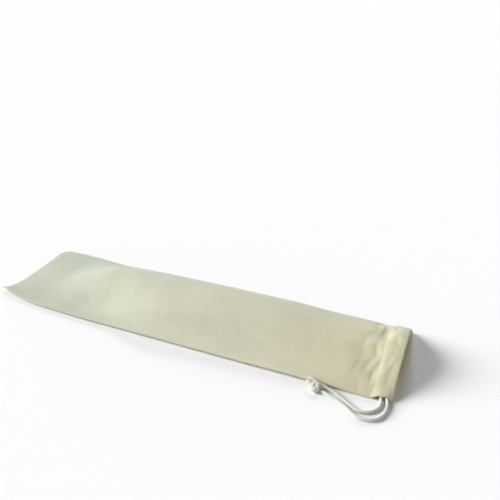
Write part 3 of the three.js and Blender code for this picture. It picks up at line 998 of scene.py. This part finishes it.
def surface_line(x, ys, over):
    """Points on the cloth at x over the given ys, each with the way out of the cloth."""
    row = section_at(x)
    layer = 1 if over else 0

    def height(y):
        return heights(x, y, row, 0)[layer]

    line = []
    for y in ys:
        z = height(y)
        normal = Vector((0, -(height(y + NORMAL_STEP) - z) / NORMAL_STEP, 1)).normalized()
        point = place(x, y, z, UPPER_LIP if over else LOWER_LIP)
        line.append((point, normal if over else -normal))
    return line


def stitch_row(line):
    """Stitches in equal steps along a line of points and their normals."""
    lengths = lengths_along([point for point, _ in line])

    def at(want):
        k, t = span_at(lengths, want)
        (a, a_normal), (b, b_normal) = line[k], line[k + 1]
        return a.lerp(b, t), a_normal.lerp(b_normal, t).normalized()

    parts = []
    for i in range(int(lengths[-1] // STITCH["pitch"])):
        start, normal = at(i * STITCH["pitch"])
        end, _ = at(i * STITCH["pitch"] + STITCH["length"])
        parts.append(stitch(start, end, normal))
    return parts


def stitches(material):
    """The row of stitches that holds the casing, in both layers."""
    row = section_at(STITCH_X)
    span = row["far"] - row["near"] - 2 * STITCHING["from_edge"]
    steps = STITCHING["steps"]
    ys = [row["near"] + STITCHING["from_edge"] + span * i / steps for i in range(steps + 1)]
    parts = [part for over in (True, False) for part in stitch_row(surface_line(STITCH_X, ys, over))]
    vertices, faces, uvs = joined(parts)
    return make_object("hem_stitches", vertices, faces, material, uvs)


def slit_hems(material):
    """The two folded edges of the slit, which meet at the stitching and at the mouth."""
    start, end = SLIT_HEM["x"]
    parts = []
    for over in (True, False):
        points = []
        for i in range(SLIT_HEM["steps"] + 1):
            x = start + (end - start) * i / SLIT_HEM["steps"]
            row = section_at(x)
            low, high = heights(x, row["near"], row, 0)
            z = high - SLIT_HEM["radius"] if over else low + SLIT_HEM["radius"]
            points.append(place(x, row["near"] + SLIT_HEM["inset"], z, UPPER_LIP if over else LOWER_LIP))
        line = even(centripetal(points, HEM_STEPS), SLIT_HEM["step"])
        last = len(line) - 1

        def radius_at(k, angle, along):
            full = math.sin(math.pi * k / last) ** SLIT_HEM["taper"]
            return SLIT_HEM["radius"] * (SLIT_HEM["end"] + (1 - SLIT_HEM["end"]) * full)

        parts.append(tube(line, SLIT_HEM["sides"], radius_at))
    vertices, faces, uvs = joined(parts)
    return make_object("slit_hems", vertices, faces, material, uvs)


# ---- Materials ----
MATTE = {"specular": 0.25, "sheen_roughness": 0.6}
RELIEF_DEPTH = 0.0002  # of a material's finest relief, in metres

# The cloth's colour along the bag, in metres from its closed end: a little greener there and warmer
# towards the mouth, with painted shade that darkens the closed end and painted light that lightens
# the bag from its ramp towards the mouth.
ALONG_TINT_AND_SHADE = [
    (0.0, (0.505, 0.52, 0.41)),
    (0.06, (0.54, 0.555, 0.44)),
    (0.10, (0.535, 0.55, 0.437)),
    (0.15, (0.535, 0.55, 0.436)),
    (0.24, (0.59, 0.60, 0.472)),
    (0.42, (0.6, 0.586, 0.453)),
    (0.52, (0.62, 0.595, 0.455)),
    (0.60, (0.606, 0.575, 0.417)),
    (0.70, (0.625, 0.582, 0.405)),
]

# Painted shade across the bag, in metres round it from the near edge: darker and cooler past the ridge.
ACROSS_PAINTED_SHADE = [
    (0.085, (1.0, 1.0, 1.0)),
    (0.12, (0.93, 0.972, 0.985)),
    (0.15, (0.93, 0.972, 0.985)),
    (0.2, (0.98, 0.99, 0.995)),
    (0.25, (1.0, 1.0, 1.0)),
]

# Its weave, with threads and slubs per metre, how much its shade varies, and its flecks of seed.
WEAVE = {"threads": 1900, "relief": 0.5}
SLUBS = {"along": 18, "across": 900, "detail": 2, "height": 1.6}
MOTTLE = {"scale": 14, "detail": 3}
TONE = {"slubs": 0.3, "mottle": 0.4}
SHADE = {"From Min": 0.35, "From Max": 0.65, "To Min": 0.93, "To Max": 1.07}
FLECKS = {"scale": 130, "size": 0.055, "left_out": 0.72, "color": (0.22, 0.15, 0.08, 1)}

FIBRES = {"scale": 2200, "detail": 3, "relief": 0.4}
FIBRE_COLORS = [
    (0.3, (0.54, 0.54, 0.47)),
    (0.7, (0.69, 0.69, 0.62)),
]


def node(tree, kind, inputs, **settings):
    """A new node. Each of its inputs is set to a value or linked to another node's output."""
    made = tree.nodes.new(kind)
    for name, value in settings.items():
        setattr(made, name, value)
    for name, value in inputs.items():
        if isinstance(value, bpy.types.NodeSocket):
            tree.links.new(value, made.inputs[name])
        else:
            made.inputs[name].default_value = value
    return made


def math_of(tree, operation, *values):
    return node(tree, "ShaderNodeMath", dict(enumerate(values)), operation=operation).outputs[0]


def vector_of(tree, operation, inputs):
    return node(tree, "ShaderNodeVectorMath", inputs, operation=operation).outputs[0]


def noise_of(tree, place, scale, detail):
    inputs = {"Vector": place, "Scale": scale, "Detail": detail}
    return node(tree, "ShaderNodeTexNoise", inputs).outputs["Fac"]


def color_ramp(tree, table, position, interpolation="LINEAR"):
    """A ramp of colours over a position: a row for each stop."""
    made = node(tree, "ShaderNodeValToRGB", {0: position})
    made.color_ramp.interpolation = interpolation
    stops = made.color_ramp.elements
    for _ in range(len(table) - len(stops)):
        stops.new(0.5)
    for stop, (at, color) in zip(stops, table):
        stop.position, stop.color = at, (*color, 1)
    return made.outputs[0]


def flat_place(tree):
    """The place on the flat cloth or cord, in metres."""
    return node(tree, "ShaderNodeUVMap", {}, uv_map="flat").outputs[0]


def add_relief(tree, shader, height, strength):
    """Fine relief for a shader, from a height."""
    inputs = {"Strength": strength, "Distance": RELIEF_DEPTH, "Height": height}
    tree.links.new(node(tree, "ShaderNodeBump", inputs).outputs[0], shader.inputs["Normal"])


def plain_material(name, color, roughness, sheen):
    """A matte material of one colour, with its node tree and its shader."""
    material = bpy.data.materials.new(name)
    material.use_nodes = True
    tree = material.node_tree
    shader = tree.nodes["Principled BSDF"]
    shader.inputs["Base Color"].default_value = (*color, 1)
    shader.inputs["Roughness"].default_value = roughness
    shader.inputs["Specular IOR Level"].default_value = MATTE["specular"]
    shader.inputs["Sheen Weight"].default_value = sheen
    shader.inputs["Sheen Roughness"].default_value = MATTE["sheen_roughness"]
    return material, tree, shader


def slubs_of(tree, place):
    """Uneven thickness of the warp threads and of the weft threads."""
    slubs = []
    for scale in [(SLUBS["along"], SLUBS["across"], 1), (SLUBS["across"], SLUBS["along"], 1)]:
        stretched = vector_of(tree, "MULTIPLY", {0: place, 1: scale})
        slubs.append(noise_of(tree, stretched, 1, SLUBS["detail"]))
    return slubs


def weave_height(tree, u, v, slubs):
    """Height of the warp and weft threads, each over and under the ones that it crosses."""

    def wave(place):
        threads = math_of(tree, "MULTIPLY", place, WEAVE["threads"])
        return math_of(tree, "SINE", math_of(tree, "MULTIPLY", threads, math.pi))

    warp, weft = wave(v), wave(u)
    weft_over = math_of(tree, "GREATER_THAN", math_of(tree, "MULTIPLY", warp, weft), 0)
    arches = {0: weft_over, 2: math_of(tree, "ABSOLUTE", warp), 3: math_of(tree, "ABSOLUTE", weft)}
    height = node(tree, "ShaderNodeMix", arches, data_type="FLOAT").outputs[0]
    for slub in slubs:
        height = math_of(tree, "ADD", height, math_of(tree, "MULTIPLY", slub, SLUBS["height"]))
    return height


def cloth_color(tree, place, u, v, slubs):
    """The cloth's colour, with painted shade and light along and across the bag, thicker threads and broad mottling.
    """
    tint_and_painted_shade = {0: color_ramp(tree, ALONG_TINT_AND_SHADE, u), 1: color_ramp(tree, ACROSS_PAINTED_SHADE, v)}
    mottle = noise_of(tree, place, MOTTLE["scale"], MOTTLE["detail"])
    tone = math_of(
        tree,
        "ADD",
        math_of(tree, "MULTIPLY", math_of(tree, "ADD", *slubs), TONE["slubs"]),
        math_of(tree, "MULTIPLY", mottle, TONE["mottle"]),
    )
    shade = node(tree, "ShaderNodeMapRange", {"Value": tone, **SHADE}).outputs[0]
    return vector_of(tree, "SCALE", {0: vector_of(tree, "MULTIPLY", tint_and_painted_shade), "Scale": shade})


def flecked(tree, place, color):
    """A colour with some dark flecks of seed."""
    cells = node(tree, "ShaderNodeTexVoronoi", {"Vector": place, "Scale": FLECKS["scale"]})
    parts = node(tree, "ShaderNodeSeparateColor", {0: cells.outputs["Color"]})
    small = math_of(tree, "LESS_THAN", cells.outputs["Distance"], FLECKS["size"])
    rare = math_of(tree, "GREATER_THAN", parts.outputs[0], FLECKS["left_out"])
    inputs = {0: math_of(tree, "MULTIPLY", small, rare), 6: color, 7: FLECKS["color"]}
    return node(tree, "ShaderNodeMix", inputs, data_type="RGBA").outputs[2]


def cotton_material():
    material, tree, shader = plain_material("cotton_weave", (0.6, 0.58, 0.46), roughness=0.92, sheen=0.15)
    place = flat_place(tree)
    u, v, _ = node(tree, "ShaderNodeSeparateXYZ", {0: place}).outputs
    slubs = slubs_of(tree, place)
    add_relief(tree, shader, weave_height(tree, u, v, slubs), WEAVE["relief"])
    color = flecked(tree, place, cloth_color(tree, place, u, v, slubs))
    tree.links.new(color, shader.inputs["Base Color"])
    return material


def cord_material():
    material, tree, shader = plain_material("cotton_cord", (0.72, 0.70, 0.62), roughness=0.85, sheen=0.2)
    fibres = noise_of(tree, flat_place(tree), FIBRES["scale"], FIBRES["detail"])
    tree.links.new(color_ramp(tree, FIBRE_COLORS, fibres), shader.inputs["Base Color"])
    add_relief(tree, shader, fibres, FIBRES["relief"])
    return material


def thread_material():
    material, _, _ = plain_material("stitch_thread", (0.74, 0.72, 0.62), roughness=0.7, sheen=0.2)
    return material


# ---- Camera, floor and light ----
CAMERA = {"lens": 42.24, "sensor": 36, "at": (0.4198, -0.7453, 0.5839), "tilt": 61.66, "turn": 23.07}
FLOOR = {"half": 30, "z": -0.0003}

# The sky's colour by height: a pale wall all around, and a dimmer ceiling.
SKY = [
    (0.25, (0.975, 0.98, 0.985)),
    (0.5, (0.15, 0.151, 0.153)),
]


def camera():
    data = bpy.data.cameras.new("camera")
    data.lens = CAMERA["lens"]
    data.sensor_width = CAMERA["sensor"]
    obj = bpy.data.objects.new("camera", data)
    obj.location = CAMERA["at"]
    obj.rotation_euler = (math.radians(CAMERA["tilt"]), 0, math.radians(CAMERA["turn"]))
    bpy.context.scene.collection.objects.link(obj)
    bpy.context.scene.camera = obj


def sun(name, azimuth, elevation, strength, softness, color):
    """A soft sun. Azimuth is where it stands, in degrees from +Y towards -X."""
    data = bpy.data.lights.new(name, "SUN")
    data.energy = strength
    data.angle = math.radians(softness)
    data.color = color
    obj = bpy.data.objects.new(name, data)
    obj.rotation_euler = (math.radians(elevation - 90), 0, math.radians(azimuth))
    bpy.context.scene.collection.objects.link(obj)


def sky():
    world = bpy.data.worlds.new("studio")
    world.use_nodes = True
    tree = world.node_tree
    direction = node(tree, "ShaderNodeTexCoord", {}).outputs["Generated"]
    height = node(tree, "ShaderNodeSeparateXYZ", {0: direction}).outputs[2]
    tree.links.new(color_ramp(tree, SKY, height, "EASE"), tree.nodes["Background"].inputs[0])
    return world


def studio():
    """A pale floor, the sky and two suns."""
    mesh = bpy.data.meshes.new("floor")
    half, z = FLOOR["half"], FLOOR["z"]
    corners = [(-half, -half, z), (half, -half, z), (half, half, z), (-half, half, z)]
    mesh.from_pydata(corners, [], [(0, 1, 2, 3)])
    floor = bpy.data.objects.new("floor", mesh)
    bpy.context.scene.collection.objects.link(floor)
    paper, _, _ = plain_material("pale_floor", (0.92, 0.92, 0.93), roughness=0.95, sheen=0.0)
    mesh.materials.append(paper)
    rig.stage(floor)
    bpy.context.scene.world = sky()
    sun("key", azimuth=10, elevation=30, strength=0.98, softness=15, color=(1.0, 0.99, 0.97))
    sun("fill", azimuth=105, elevation=30, strength=4.0, softness=36, color=(1.0, 1.0, 1.0))
    bpy.context.scene.view_settings.view_transform = "Standard"


camera()
studio()

cotton = cotton_material()
cord_cotton = cord_material()

outer, outer_path = strand("drawstring_outer", OUTER_ROUTE, cord_cotton)
inner, inner_path = strand("drawstring_inner", INNER_ROUTE, cord_cotton)
hidden = hidden_cord(cord_cotton)
tied = knot(cord_cotton)
bag = bag_mesh(cotton)
hem = stitches(thread_material())
lips = slit_hems(cotton)

for piece, slot, nodes in [
    (bag, "cotton", ["bag"]),
    (hem, "cord", []),
    (lips, "cotton", []),
    (outer, "cord", ["drawstring_outer_strand"]),
    (inner, "cord", ["drawstring_inner_strand"]),
    (hidden, "cord", ["drawstring_in_casing"]),
    (tied, "cord", ["drawstring_knot"]),
]:
    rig.ride(piece, "root")
    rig.slot(piece, slot)
    if nodes:
        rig.replaces(piece, *nodes)


for piece, path in [(outer, outer_path), (inner, inner_path)]:
    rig.cord(
        piece,
        exit=path[0],
        length=round(path_length(path), 3),
        diameter=CORD * MM,
        far_end="knot",
        stiffness="limp",
        lay="loose",
        path=path,
        with_pieces=[tied],
    )
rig.sheet(bag, flat=(0.40, 0.765), held="laid", with_pieces=[hem, lips])

size = {"cad": [list(corner) for corner in cad_box], "visual": [list(corner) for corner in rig.bounds()]}
with open("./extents.json", "w") as file:
    json.dump(size, file)
